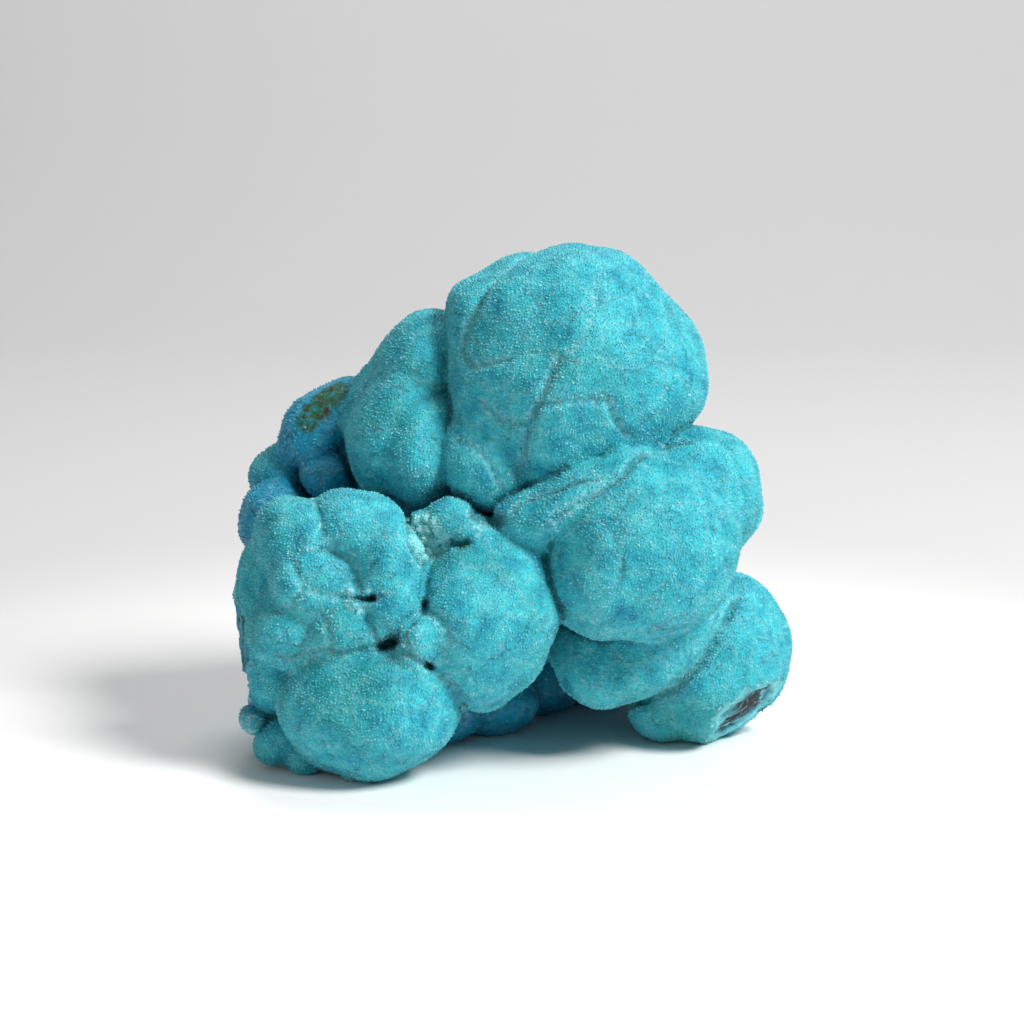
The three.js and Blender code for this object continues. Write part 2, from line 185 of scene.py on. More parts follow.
# The creases, slots and pits, as (half width in mm, depth in mm, the pixels of the photograph along it).
FURROWS = [
    # The crown's creases.
    (2.2, 1.2, [(543, 249), (516, 262), (494, 282), (476, 308), (466, 328), (462, 350)]),
    (1.9, 1.1, [(462, 350), (472, 366), (496, 362), (512, 358)]),
    (2.0, 1.5, [(559, 357), (550, 377), (541, 400), (528, 424), (525, 445), (521, 475)]),
    (1.9, 1.2, [(608, 399), (612, 414), (622, 429), (641, 450)]),
    (1.8, 0.9, [(543, 404), (570, 402), (606, 399)]),
    (2.1, 1.5, [(484, 404), (498, 420), (526, 425)]),
    (1.8, 0.5, [(598, 276), (592, 310), (585, 340), (559, 357)]),
    (1.7, 0.6, [(512, 358), (530, 352), (559, 357)]),
    (1.8, 0.7, [(455, 440), (474, 446), (490, 464), (500, 488)]),
    # The fist's creases.
    (1.9, 0.6, [(315, 500), (322, 522), (319, 546)]),
    (2.1, 1.8, [(319, 548), (335, 553), (352, 560), (356, 580), (362, 600)]),
    (2.0, 1.6, [(362, 600), (369, 619), (374, 636), (382, 647)]),
    (1.9, 1.7, [
        (404, 508), (410, 528), (411, 546), (418, 558), (426, 566), (426, 578), (423, 594), (424, 608),
    ]),
    (2.1, 1.62, [(424, 608), (414, 619), (403, 633)]),
    (2.0, 1.35, [(276, 658), (291, 660), (305, 653), (324, 650), (345, 654), (362, 651), (380, 648)]),
    (2.1, 1.5, [(386, 652), (404, 652), (418, 661), (434, 669), (447, 678)]),
    (2.4, 1.0, [(447, 678), (456, 689), (462, 703), (466, 720)]),
    (1.9, 0.95, [(306, 588), (323, 595), (340, 597), (358, 598)]),
    (1.8, 0.85, [(325, 619), (329, 632), (331, 647)]),
    (1.8, 0.75, [(292, 560), (300, 580), (306, 588), (290, 604), (276, 612)]),
    (1.9, 1.12, [(410, 620), (405, 636), (411, 652), (422, 664), (438, 669)]),
    (1.9, 0.75, [(425, 612), (438, 614), (447, 628), (448, 645), (442, 666)]),
    (1.6, 1.25, [(364, 598), (380, 596)]),
    (1.6, 0.5, [(380, 596), (392, 590)]),
    # Its slots and pits, dark inside.
    (1.2, 5.0, [(355, 598), (364, 600), (374, 598)]),
    (1.2, 5.0, [(425, 604), (425, 611)]),
    (1.9, 8.0, [(381, 647), (392, 642), (404, 633)]),
    (1.7, 7.0, [(391, 641), (400, 648)]),
    (1.2, 5.0, [(425, 664), (438, 672)]),
    (1.3, 4.0, [(450, 541), (459, 546), (468, 543)]),
    (4.4, 4.0, [(422, 530), (431, 546)]),
    (2.2, 7.0, [(476, 514), (497, 521)]),
    # The right side's creases.
    (2.1, 1.6, [(554, 519), (575, 504), (603, 490), (622, 475), (645, 453), (667, 446), (692, 440)]),
    (2.1, 1.5, [(512, 508), (527, 499), (557, 490), (585, 479), (622, 474)]),
    (2.2, 1.7, [(627, 706), (655, 698), (676, 689), (700, 665), (722, 628), (738, 598)]),
    (1.8, 0.5, [(560, 606), (590, 622), (620, 633), (660, 628)]),
    (1.8, 0.3, [(600, 520), (622, 548), (618, 580)]),
]

# A furrow's section is a wide hollow with a narrower one in it. Each is a share of the whole depth.
WIDE_SHARE, NARROW_SHARE = 0.4, 0.6
NARROWING = 2.4  # how many times narrower the inner hollow is
SIGHT_REACH = 1.2  # how far a furrow reaches along the camera's line of sight, in depths

# How the form is worked out. Lengths are in mm.
GRID = 0.58  # the spacing of the grid
MARGIN = 2.5  # how far that grid reaches past the form
DETAILED = 2.2  # how near the surface a grid point is worked out in full detail
CLUSTER_BLEND = 0.2  # how softly one cluster of lobes runs into the next
SOFT_BLEND = 0.5  # and a lobe into those of its own cluster, in these clusters
SOFT_CLUSTERS = ("crown", "wing", "fist", "cheek", "tongue", "heel")
BUD_BLEND = 0.6  # and a bud into its lobe
REACH = 3.2  # how far from a lobe it still counts
DRUSE_DEPTH = 0.25  # the grains' room, by which the surface under them is lower
CRUMB_DEPTH = 0.15  # and by which the crumbs are lower still
SWELL_FADE = 0.4  # how far under the unbroken form the growth lumps fade out
UNDRIFT_STEPS = 2  # how often the drift's inverse is refined
PROJECTIONS = 3  # how often the points are moved onto the surface
STRIDE = 0.4  # the farthest a point is moved at once, in grid steps
LEAST_SLOPE = 0.3  # keeps a flat part of the field from throwing a point far
PROBE = 0.12  # the step by which a slope is measured
NARROW = 1.6  # how far out a point looks for what shades it
EDGE = 2.4  # how far in it looks to tell an edge
TINY = 1e-6  # keeps a division from one by zero
EXPONENT_LIMIT = 60  # keeps the soft unions within a number's range
EVERY = slice(None)  # all points, where a soft union takes the chosen ones

# The growth lumps on every lobe and the facets of a fracture: (size, how far they stand out, salt).
SWELLS = [(8.5, 0.1, 1), (3.2, 0.07, 2), (1.2, 0.055, 3)]
HACKLES = [(6.5, 1.1, 11), (2.4, 0.45, 12), (1.1, 0.2, 13)]
SEAM = 0.6  # the share of a lump's size over which it falls to the seam with its neighbour
DOME = 0.8  # how strongly a lump is domed

# What the finishes and the druse read from the form.
SHELL_BLEND = 0.8  # how softly one lobe's bareness runs into the next
FLANK_EDGE = -34.5  # the break to the left of this shows streaked glassy chrysocolla and no rock
GLASS_FADE = 1.5
GROWN = 0.45  # how deep under the unbroken form is still grown surface and not a break
GROWN_END = 1.4  # the grains thin out over one such depth and end at this many
GRAINS_LOST = 0.8  # the share of the grains that a stain takes away
FULL_DRUSE = 0.25  # how bare a lobe may be and keep all its grains
CREASE_DEPTH = 0.8  # a crease this deep counts in full
CRUMB_FADE = 0.4
FOOT = 0.4  # how far above the floor the grains begin, and over how much they thicken

# The camera of the photograph, in the lobes' own frame: its target, its directions and its lens.
TARGET = np.array([0.35, 20, 36.1])
ELEVATION = math.radians(12)
RIGHT = np.array([1.0, 0, 0])
UP = np.array([0, math.sin(ELEVATION), math.cos(ELEVATION)])
BACKWARD = np.array([0, -math.cos(ELEVATION), math.sin(ELEVATION)])
IMAGE, MM_PER_PIXEL = 1024, 0.15
LENS, SENSOR = 100, 36
CAMERA_DISTANCE = IMAGE * MM_PER_PIXEL * LENS / SENSOR
RAY_START = 60  # how far in front of the target a ray starts, in mm
RAY_STEPS, RAY_STRIDE, LONGEST_STEP = 60, 0.7, 5


def direction(azimuth, elevation):
    """The unit vector at an azimuth and elevation in degrees, where azimuth 0 faces the viewer."""
    a, e = math.radians(azimuth), math.radians(elevation)
    return np.array([math.sin(a) * math.cos(e), -math.cos(a) * math.cos(e), math.sin(e)])


def turned(degrees):
    """The matrix that turns clockwise in the X-Z plane, seen from the front."""
    a = math.radians(degrees)
    return np.array([[math.cos(a), 0, math.sin(a)], [0, 1, 0], [-math.sin(a), 0, math.cos(a)]])


def bud_ball(shape, bud):
    """The centre and radius of the ball whose cap is the bud."""
    azimuth, elevation, half_width, proud = bud
    towards = direction(azimuth, elevation)
    reach = 1 / norm(turned(shape["tilt"]).T @ towards / shape["radii"])
    radius = 1 / (1 / shape["radii"].mean() + 2 * proud / half_width**2)
    return shape["at"] + towards * (reach + proud - radius), radius


def undrifted(points):
    """Where the drift brought each point from."""
    start = points.copy()
    for _ in range(UNDRIFT_STEPS):
        moved = start.copy()
        for axis, along, distance, wavelength, phase in DRIFT:
            moved[:, axis] += distance * np.sin(2 * math.pi * start[:, along] / wavelength + phase)
        start += points - moved
    return start


def ellipsoid_distance(points, at, radii, turn):
    """About how far each point is outside an ellipsoid, below zero inside it."""
    local = (points - at) @ turn
    outside = norm(local / radii, axis=1)
    slope = norm(local / (radii * radii), axis=1)
    return outside * (outside - 1) / np.maximum(slope, TINY)


def near(points, at, reach):
    """The numbers of the points in a box round a centre."""
    return np.flatnonzero((np.abs(points - at) < reach).all(axis=1))


def add_soft(total, chosen, distance, blend):
    """Adds a shape to a soft union, kept as a sum of exponentials."""
    total[chosen] += np.exp(np.clip(-distance / blend, -EXPONENT_LIMIT, EXPONENT_LIMIT))


def soft_distance(total, blend):
    return -blend * np.log(np.maximum(total, 1e-30))


def lobe_distance(points, shape):
    """The chosen points' numbers and their distances from a lobe with its buds."""
    at, radii = shape["at"], shape["radii"]
    chosen = near(points, at, radii.max() + REACH)
    close = points[chosen]
    total = np.zeros(len(chosen))
    add_soft(total, EVERY, ellipsoid_distance(close, at, radii, turned(shape["tilt"])), BUD_BLEND)
    for bud in shape["buds"]:
        centre, radius = bud_ball(shape, bud)
        add_soft(total, EVERY, norm(close - centre, axis=1) - radius, BUD_BLEND)
    return chosen, soft_distance(total, BUD_BLEND)


# Cells: lumps on a jittered lattice, for the faint polygons on every lobe and the faces of a fracture.
CELL_STEPS = np.stack(np.meshgrid(*[[-1, 0, 1]] * 3, indexing="ij"), -1).reshape(-1, 3)
CELL_OFFSET = 4096  # keeps the numbers of the lattice above zero
AXIS_PRIMES = np.array([73856093, 19349663, 83492791], np.uint64)
SALT_PRIME = 2654435761
NEXT_FACTOR, NEXT_TERM = np.uint64(6364136223846793005), np.uint64(1442695040888963407)


def scattered(lattice, salt):
    """Three even random numbers for each lattice cell, the same on every run."""
    mixed = lattice.astype(np.uint64) * AXIS_PRIMES
    seed = mixed[:, 0] ^ mixed[:, 1] ^ mixed[:, 2] ^ np.uint64(salt * SALT_PRIME)
    out = np.empty((len(lattice), 3))
    for i in range(3):
        seed = seed * NEXT_FACTOR + NEXT_TERM
        out[:, i] = (seed >> np.uint64(33)).astype(float) / 2**31
    return out


def cells(points, size, salt):
    """How far the nearest two seeds are, in cell sizes, and the random numbers of the nearest."""
    scaled = points / size
    home = np.floor(scaled).astype(np.int64)
    first = np.full(len(points), np.inf)
    second = first.copy()
    numbers = np.zeros((len(points), 3))
    for step in CELL_STEPS:
        there = home + step
        random = scattered(there + CELL_OFFSET, salt)
        away = norm(there + random - scaled, axis=1)
        closer = away < first
        second = np.where(closer, first, np.minimum(second, away))
        numbers[closer] = random[closer]
        first = np.where(closer, away, first)
    return first, second, numbers


def swell(points):
    """How far the growth lumps of every size lift the surface."""
    height = np.zeros(len(points))
    for size, lift, salt in SWELLS:
        first, second, _ = cells(points, size, salt)
        height += lift * (np.minimum(second - first, SEAM) / SEAM - first * first * DOME)
    return height


def hackle(points):
    """How far a fractured face stands out, in small slanting facets."""
    height = np.zeros(len(points))
    for size, lift, salt in HACKLES:
        first, _, numbers = cells(points, size, salt)
        height += lift * (numbers[:, 0] - 0.5 + (numbers[:, 1] - 0.5) * first)
    return height


def seen_at(pixels):
    """Where the camera's rays through these pixels of the photograph meet the form."""
    offset = (np.array(pixels, float) - IMAGE / 2) * SENSOR / LENS / IMAGE
    rays = RIGHT * offset[:, :1] - UP * offset[:, 1:] - BACKWARD
    rays /= norm(rays, axis=1)[:, None]
    points = TARGET + BACKWARD * CAMERA_DISTANCE + rays * (CAMERA_DISTANCE - RAY_START)
    for _ in range(RAY_STEPS):
        distance, _ = field(points, detail=False, carved=False)
        points = points + rays * RAY_STRIDE * np.clip(distance, -LONGEST_STEP, LONGEST_STEP)[:, None]
    return points


def furrow_depth(points):
    """How deep the creases and pits are cut at each point."""
    deepest = np.zeros(len(points))
    for half_width, depth, ends in CUTS:
        reach = max(half_width, SIGHT_REACH * depth)
        middle = (ends.min(axis=0) + ends.max(axis=0)) / 2
        about = near(points, middle, np.ptp(ends, axis=0).max() / 2 + reach)
        for start, end in zip(ends[:-1], ends[1:]):
            along = end - start
            length = norm(along)
            chosen = about[near(points[about], (start + end) / 2, length / 2 + reach)]
            away = points[chosen] - start
            away = away - np.outer(away @ BACKWARD * (1 - half_width / reach), BACKWARD)
            share = np.clip(away @ along / length**2, 0, 1)
            distance = norm(away - share[:, None] * along, axis=1)
            wide = np.clip(1 - distance / half_width, 0, 1) ** 2
            narrow = np.clip(1 - NARROWING * distance / half_width, 0, 1)
            cut = depth * (WIDE_SHARE * wide + NARROW_SHARE * narrow)
            deepest[chosen] = np.maximum(deepest[chosen], cut)
    return deepest


def blend_of(name):
    """How softly the lobes of a cluster run together, from its name or a lobe's."""
    return SOFT_BLEND if name.split("_")[0] in SOFT_CLUSTERS else CLUSTER_BLEND


def cluster_totals(start):
    """The soft union of each cluster. Lobes whose names begin with the same word grew as one cluster."""
    totals = {}
    for name, shape in LOBES.items():
        chosen, distance = lobe_distance(start, shape)
        total = totals.setdefault((name.split("_")[0], shape["breaks"]), np.zeros(len(start)))
        add_soft(total, chosen, distance, blend_of(name))
    return totals


def crumb_distance(points):
    """How far each point is outside the nearest crumb, as far as it matters."""
    nearest = np.full(len(points), REACH)
    for at, radius in CRUMB_BALLS:
        chosen = near(points, at, radius + REACH)
        distance = norm(points[chosen] - at, axis=1) - radius
        nearest[chosen] = np.minimum(nearest[chosen], distance)
    return nearest


def field(points, detail=True, carved=True):
    """The distance outside the broken form, and outside the form before it broke."""
    start = undrifted(points)
    rough = hackle(points) if detail else 0
    cut = furrow_depth(points) if carved else 0
    whole = np.zeros(len(points))
    broken = np.zeros(len(points))
    for (cluster, breaks), total in cluster_totals(start).items():
        distance = soft_distance(total, blend_of(cluster)) + cut
        add_soft(whole, EVERY, distance, CLUSTER_BLEND)
        for name in breaks:
            at, normal = BREAKS[name]
            distance = np.maximum(distance, (points - at) @ (np.array(normal) / norm(normal)) + rough)
        add_soft(broken, EVERY, distance, CLUSTER_BLEND)
    if carved:
        crumbs = crumb_distance(points)
        add_soft(whole, EVERY, crumbs, CLUSTER_BLEND)
        add_soft(broken, EVERY, crumbs + CRUMB_DEPTH, CLUSTER_BLEND)
    whole = soft_distance(whole, CLUSTER_BLEND)
    distance = soft_distance(broken, CLUSTER_BLEND) + DRUSE_DEPTH
    if detail:
        cover = np.clip(1 - (distance - whole - DRUSE_DEPTH) / SWELL_FADE, 0, 1)
        distance = distance - swell(start) * cover
    return distance, whole


# The surface: points on a grid, a net of quads between them, and then each corner moved onto the form.
def on_floor(points, distance):
    return np.maximum(distance, FLOOR - points[:, 2])


def grid_axes():
    reach = np.array([[shape["radii"].max()] for shape in LOBES.values()])
    centres = np.array([shape["at"] for shape in LOBES.values()])
    low, high = (centres - reach).min(axis=0), (centres + reach).max(axis=0)
    low[2] = FLOOR
    return [np.arange(a - MARGIN, b + MARGIN, GRID) for a, b in zip(low, high)]


def grid_values(axes):
    """The field on the grid, in full detail only where the surface may run."""
    points = np.stack(np.meshgrid(*axes, indexing="ij"), -1).reshape(-1, 3)
    distance, _ = field(points, detail=False)
    close = np.flatnonzero(np.abs(distance) < DETAILED)
    distance[close], _ = field(points[close])
    return on_floor(points, distance).reshape([len(axis) for axis in axes])


def edge_ends(axis, across=slice(None)):
    """Where the grid's edges along an axis start and where they end, as indices."""
    start, end = [across] * 3, [across] * 3
    start[axis], end[axis] = slice(0, -1), slice(1, None)
    return tuple(start), tuple(end)


def crossings(values, axes):
    """For each cell of the grid, the mean of the points where the surface crosses the cell's edges."""
    cell_shape = tuple(n - 1 for n in values.shape)
    total = np.zeros((*cell_shape, 3))
    count = np.zeros(cell_shape)
    places = np.stack(np.meshgrid(*axes, indexing="ij"), -1)
    for axis in range(3):
        start, end = edge_ends(axis)
        a, b = values[start], values[end]
        crossed = (a < 0) != (b < 0)
        share = np.where(crossed, a / np.where(crossed, a - b, 1), 0)
        place = places[start].copy()
        place[..., axis] += share * GRID
        others = [i for i in range(3) if i != axis]
        for shifts in ((0, 0), (0, 1), (1, 0), (1, 1)):
            take = [slice(None)] * 3
            for other, shift in zip(others, shifts):
                take[other] = slice(shift, shift + cell_shape[other])
            total += np.where(crossed[tuple(take)][..., None], place[tuple(take)], 0)
            count += crossed[tuple(take)]
    return total, count


def net_quads(values, corner_numbers):
    """Four cells round each grid edge that the surface crosses, wound to face outwards."""
    quads = []
    for axis in range(3):
        first, second = (axis + 1) % 3, (axis + 2) % 3
        start, end = edge_ends(axis, slice(1, -1))
        a, b = values[start], values[end]
        for leaving in (True, False):
            found = np.argwhere((a < 0) & (b >= 0) if leaving else (a >= 0) & (b < 0))
            round_edge = []
            for step_first, step_second in ((1, 1), (0, 1), (0, 0), (1, 0)):
                cell = found.copy()
                cell[:, first] += step_first
                cell[:, second] += step_second
                round_edge.append(corner_numbers[tuple(cell.T)])
            quad = np.stack(round_edge, axis=1)
            quads.append(quad if leaving else quad[:, ::-1])
    return np.concatenate(quads)


def slopes(points):
    """The field at each point, and its slope."""
    here = on_floor(points, field(points)[0])
    slope = np.empty((len(points), 3))
    for axis in range(3):
        ahead = points.copy()
        ahead[:, axis] += PROBE
        slope[:, axis] = (on_floor(ahead, field(ahead)[0]) - here) / PROBE
    return here, slope


def specimen_net():
    """The corners and quads of the specimen's surface, with the slope of the field at each corner."""
    axes = grid_axes()
    values = grid_values(axes)
    total, count = crossings(values, axes)
    used = count > 0
    corner_numbers = np.full(count.shape, -1)
    corner_numbers[used] = np.arange(used.sum())
    points = total[used] / count[used][:, None]
    quads = net_quads(values, corner_numbers)
    for _ in range(PROJECTIONS):
        here, slope = slopes(points)
        step = slope * (here / np.maximum((slope * slope).sum(axis=1), LEAST_SLOPE))[:, None]
        points = points - np.clip(step, -STRIDE * GRID, STRIDE * GRID)
    return points, quads, slope


# The furrows and crumbs, carried from the photograph's pixels onto the form.
CUTS = [(half_width, depth, seen_at(pixels)) for half_width, depth, pixels in FURROWS]
CRUMB_BALLS = [
    (at - BACKWARD * CRUMB_SINK, radius)
    for at, (_, _, radius) in zip(seen_at([crumb[:2] for crumb in CRUMBS]), CRUMBS)
]


def bareness(start):
    """How bare of druse each point is, from the lobes that it is nearest."""
    weight = np.full(len(start), 1e-12)
    total = np.zeros(len(start))
    for shape in LOBES.values():
        chosen, distance = lobe_distance(start, shape)
        share = np.exp(-distance / SHELL_BLEND)
        weight[chosen] += share
        total[chosen] += share * shape["bare"]
    return total / weight


def shade(points, normals, reach):
    """How closed in a point is: 0 in the open, 1 at the bottom of a crevice."""
    ahead = points + normals * reach
    open_share = on_floor(ahead, field(ahead, detail=False)[0]) / reach
    return np.clip(1 - open_share, 0, 1)


def edge_share(points, normals):
    """How thin the form is just under a point: 0 on a broad lobe, 1 on a sharp edge."""
    inside = points - normals * EDGE
    return np.clip(1 + field(inside, detail=False)[0] / EDGE, 0, 1)


def stain_share(points):
    """How green and brown a point is, where the upper left lobe has lost its crust."""
    share = np.zeros(len(points))
    for middle, (_, _, radius) in zip(seen_at([stain[:2] for stain in STAINS]), STAINS):
        away = norm(points - middle, axis=1)
        share = np.maximum(share, np.clip((radius - away) / STAIN_FADE, 0, 1))
    return share


def surface_facts(points, slope):
    """What the finishes and the druse read at each corner of the surface, from 0 to 1 or in mm."""
    normals = slope / np.maximum(norm(slope, axis=1), TINY)[:, None]
    under = np.maximum(0, -field(points, detail=False)[1] - DRUSE_DEPTH)
    bare = np.clip(bareness(undrifted(points)), 0, 1)
    stain = stain_share(points)
    grown = np.clip(GROWN_END - under / GROWN, 0, 1)
    standing = np.clip((points[:, 2] - FLOOR - FOOT) / FOOT, 0, 1)
    return {
        "under": under,
        "bare": bare,
        "narrow": shade(points, normals, NARROW),
        "edge": edge_share(points, normals),
        "crease": np.clip(furrow_depth(points) / CREASE_DEPTH, 0, 1),
        "stain": stain,
        "glass": np.clip((FLANK_EDGE - points[:, 0]) / GLASS_FADE, 0, 1),
        "crumb": np.clip(1 - crumb_distance(points) / CRUMB_FADE, 0, 1),
        "druse": (1 - GRAINS_LOST * stain) * grown * standing * np.clip(1 + FULL_DRUSE - bare, 0, 1),
        "height": points[:, 2],
    }


def new_object(name, data):
    """A new object, placed in the scene."""
    made = bpy.data.objects.new(name, data)
    bpy.context.collection.objects.link(made)
    return made


def mesh_piece(name, corners, faces, facts):
    """A smooth mesh object at the origin, with a float attribute for each fact."""
    mesh = bpy.data.meshes.new(name)
    mesh.from_pydata(corners.tolist(), [], faces.tolist())
    mesh.shade_smooth()
    for fact, values in facts.items():
        mesh.attributes.new(fact, "FLOAT", "POINT").data.foreach_set("value", values.astype(np.float32))
    return new_object(name, mesh)


def frame_shift(points):
    """The move in mm from the lobes' own frame to the row frame, feet on the floor."""
    low, high = [np.array(corner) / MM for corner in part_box(NODE)]
    middle = (points.min(axis=0) + points.max(axis=0)) / 2
    shift = (low + high) / 2 - middle
    shift[2] = low[2] - FLOOR
    return shift


# Finishes. A node is added with its settings and with values or links for its inputs.
def srgb(red, green, blue):
    """A colour given as in a paint program, from 0 to 255, as Blender's linear colour."""
    linear = [((c / 255 + 0.055) / 1.055) ** 2.4 if c > 10 else c / 255 / 12.92 for c in (red, green, blue)]
    return (*linear, 1)


def add(tree, kind, inputs=None, **settings):
    """Adds a node. inputs maps an input's name or number to a value, or to a socket that feeds it."""
    made = tree.nodes.new(kind)
    for setting, value in settings.items():
        setattr(made, setting, value)
    for name, value in (inputs or {}).items():
        socket = made.inputs[name]
        if isinstance(value, bpy.types.NodeSocket):
            tree.links.new(value, socket)
        else:
            socket.default_value = value
    return made


def number(tree, operation, *values, clamp=False):
    """The outcome of a sum on values and sockets."""
    made = add(tree, "ShaderNodeMath", dict(enumerate(values)), operation=operation, use_clamp=clamp)
    return made.outputs[0]


def times(tree, first, second):
    return number(tree, "MULTIPLY", first, second)


def rest_of(tree, share):
    return number(tree, "SUBTRACT", 1.0, share)


def between(tree, value, low, high):
    """0 where the value is low or less, 1 where it is high or more, and smooth between."""
    made = add(
        tree, "ShaderNodeMapRange",
        {"Value": value, "From Min": low, "From Max": high}, interpolation_type="SMOOTHSTEP",
    )
    return made.outputs["Result"]


# The colour sockets of a Mix node are found by number, because its other kinds use the same names.
MIX_SHARE, MIX_FIRST, MIX_SECOND, MIX_RESULT = 0, 6, 7, 2


def mix(tree, share, first, second, mode="MIX"):
    made = add(
        tree, "ShaderNodeMix", {MIX_SHARE: share, MIX_FIRST: first, MIX_SECOND: second},
        data_type="RGBA", blend_type=mode, clamp_factor=True,
    )
    return made.outputs[MIX_RESULT]


def noise(tree, place, scale, detail, roughness=0.55, output="Fac"):
    made = add(
        tree, "ShaderNodeTexNoise",
        {"Vector": place, "Scale": scale, "Detail": detail, "Roughness": roughness},
    )
    return made.outputs[output]


def voronoi(tree, place, scale, feature="F1"):
    return add(tree, "ShaderNodeTexVoronoi", {"Vector": place, "Scale": scale}, feature=feature).outputs


def attribute(tree, name):
    return add(tree, "ShaderNodeAttribute", attribute_name=name, attribute_type="GEOMETRY").outputs["Fac"]


def node_group(name, kind, inputs, outputs):
    """An empty node group. inputs and outputs map a label to a kind of socket."""
    group = bpy.data.node_groups.new(name, kind)
    for way, sockets in (("INPUT", inputs), ("OUTPUT", outputs)):
        for label, socket in sockets.items():
            group.interface.new_socket(label, in_out=way, socket_type="NodeSocket" + socket)
    return group, group.nodes.new("NodeGroupInput").outputs, group.nodes.new("NodeGroupOutput").inputs


def in_millimetres(tree):
    """Object coordinates in mm, so that a scale of 1 is one noise cell for each mm."""
    place = add(tree, "ShaderNodeTexCoord").outputs["Object"]
    return add(tree, "ShaderNodeVectorMath", {0: place, "Scale": 1000.0}, operation="SCALE").outputs[0]


# The facts of the surface that the colour reads. Each is stored under its name in small letters.
FACTS = ("Bare", "Narrow", "Under", "Edge", "Crease", "Crumb", "Glass", "Stain")

# The colours, matched.
CRUST_LIGHT = srgb(62, 190, 202)
CRUST_DEEP = srgb(14, 146, 174)
CRUST_GREEN = srgb(34, 148, 148)
FROST = srgb(206, 232, 232)
BARE_BLUE = srgb(28, 152, 188)
BARE_DARK = srgb(18, 136, 168)
# The dark of the fine cracks, also used as painted shade in creases and crevices.
CRACK_AND_PAINTED_SHADE = srgb(14, 74, 84)
RIM_BLUE = srgb(120, 206, 214)
VEIN_BLUE = srgb(30, 132, 156)
MATRIX_DARK = srgb(50, 55, 60)
MATRIX_BROWN = srgb(104, 82, 62)
MATRIX_GREEN = srgb(66, 106, 80)
MATRIX_PALE = srgb(150, 158, 156)
GLASS_BLUE = srgb(44, 150, 178)
GLASS_GREEN = srgb(40, 96, 70)
CRUMB_PALE = srgb(112, 212, 216)
STAIN_GREEN = srgb(44, 102, 78)
STAIN_BROWN = srgb(66, 56, 48)


def crust_colour(tree, place, patches, seams):
    """The crust under the druse: light and deep turquoise in patches and cells, greener here and there."""
    in_patch = times(tree, between(tree, patches, 0.35, 0.72), 0.6)
    in_cell = times(tree, between(tree, seams, 0.1, 0.5), 0.45)
    deep = number(tree, "ADD", in_patch, in_cell, clamp=True)
    crust = mix(tree, deep, CRUST_LIGHT, CRUST_DEEP)
    green = times(tree, between(tree, noise(tree, place, 0.055, 3), 0.5, 0.72), 0.5)
    return mix(tree, green, crust, CRUST_GREEN)


def frost_share(tree, given, seams, broken_up):
    """Where white frost sits: on edges, along seams and beside creases, but not deep in a crevice."""
    on_edge = times(tree, between(tree, given["Edge"], 0.22, 0.5), 0.6)
    on_seam = times(tree, rest_of(tree, between(tree, seams, 0.0, 0.14)), 0.16)
    beside_crease = times(tree, between(tree, given["Crease"], 0.05, 0.35), 0.28)
    frost = number(tree, "MAXIMUM", number(tree, "MAXIMUM", on_edge, on_seam), beside_crease)
    frost = number(tree, "MULTIPLY", frost, broken_up, clamp=True)
    return times(tree, frost, rest_of(tree, between(tree, given["Narrow"], 0.35, 0.65)))


def cracks_and_painted_shade(tree, colour, given, warped, patches):
    """The colour with fine dark cracks in some patches, and with painted shade that darkens it down in
    creases and crevices.
    """
    from_crack = voronoi(tree, warped, 0.34, "DISTANCE_TO_EDGE")["Distance"]
    crack = rest_of(tree, between(tree, from_crack, 0.01, 0.06))
    crack = times(tree, crack, between(tree, patches, 0.42, 0.62))
    # Painted shade: darker down in the carved creases and where the form closes in round a point.
    painted_crease_shade = between(tree, given["Crease"], 0.45, 1.0)
    painted_crevice_shade = between(tree, given["Narrow"], 0.72, 1.0)
    for share, strength in ((crack, 0.36), (painted_crease_shade, 0.45), (painted_crevice_shade, 0.55)):
        colour = mix(tree, times(tree, share, strength), colour, CRACK_AND_PAINTED_SHADE)
    return colour


def streaked_glass(tree, place):
    """Glassy blue chrysocolla with upright streaks of green and brown, as on the broken left flank."""
    upright = add(tree, "ShaderNodeMapping", {"Vector": place, "Scale": (1.0, 0.8, 0.12)})
    streak = noise(tree, upright.outputs["Vector"], 0.9, 5, 0.65)
    glass = mix(tree, between(tree, streak, 0.5, 0.6), GLASS_BLUE, GLASS_GREEN)
    return mix(tree, between(tree, streak, 0.62, 0.72), glass, MATRIX_BROWN)


def rock_colour(tree, place, speckle):
    """The rock inside: grey with pale specks, brown and green towards the back, and veined with blue."""
    at_back = between(tree, add(tree, "ShaderNodeSeparateXYZ", {0: place}).outputs["Y"], 0.0, 8.0)
    brown = times(tree, between(tree, noise(tree, place, 0.16, 4, 0.65), 0.48, 0.62), at_back)
    rock = mix(tree, brown, MATRIX_DARK, MATRIX_BROWN)
    green = times(tree, between(tree, speckle, 0.42, 0.6), at_back)
    rock = mix(tree, green, rock, MATRIX_GREEN)
    rock = mix(tree, between(tree, speckle, 0.52, 0.66), rock, MATRIX_PALE)
    veins = noise(tree, place, 0.12, 2, 0.5)
    rock = mix(tree, between(tree, veins, 0.56, 0.64), rock, VEIN_BLUE)
    from_line = number(tree, "ABSOLUTE", number(tree, "SUBTRACT", veins, 0.5))
    return mix(tree, rest_of(tree, between(tree, from_line, 0.004, 0.02)), rock, RIM_BLUE)


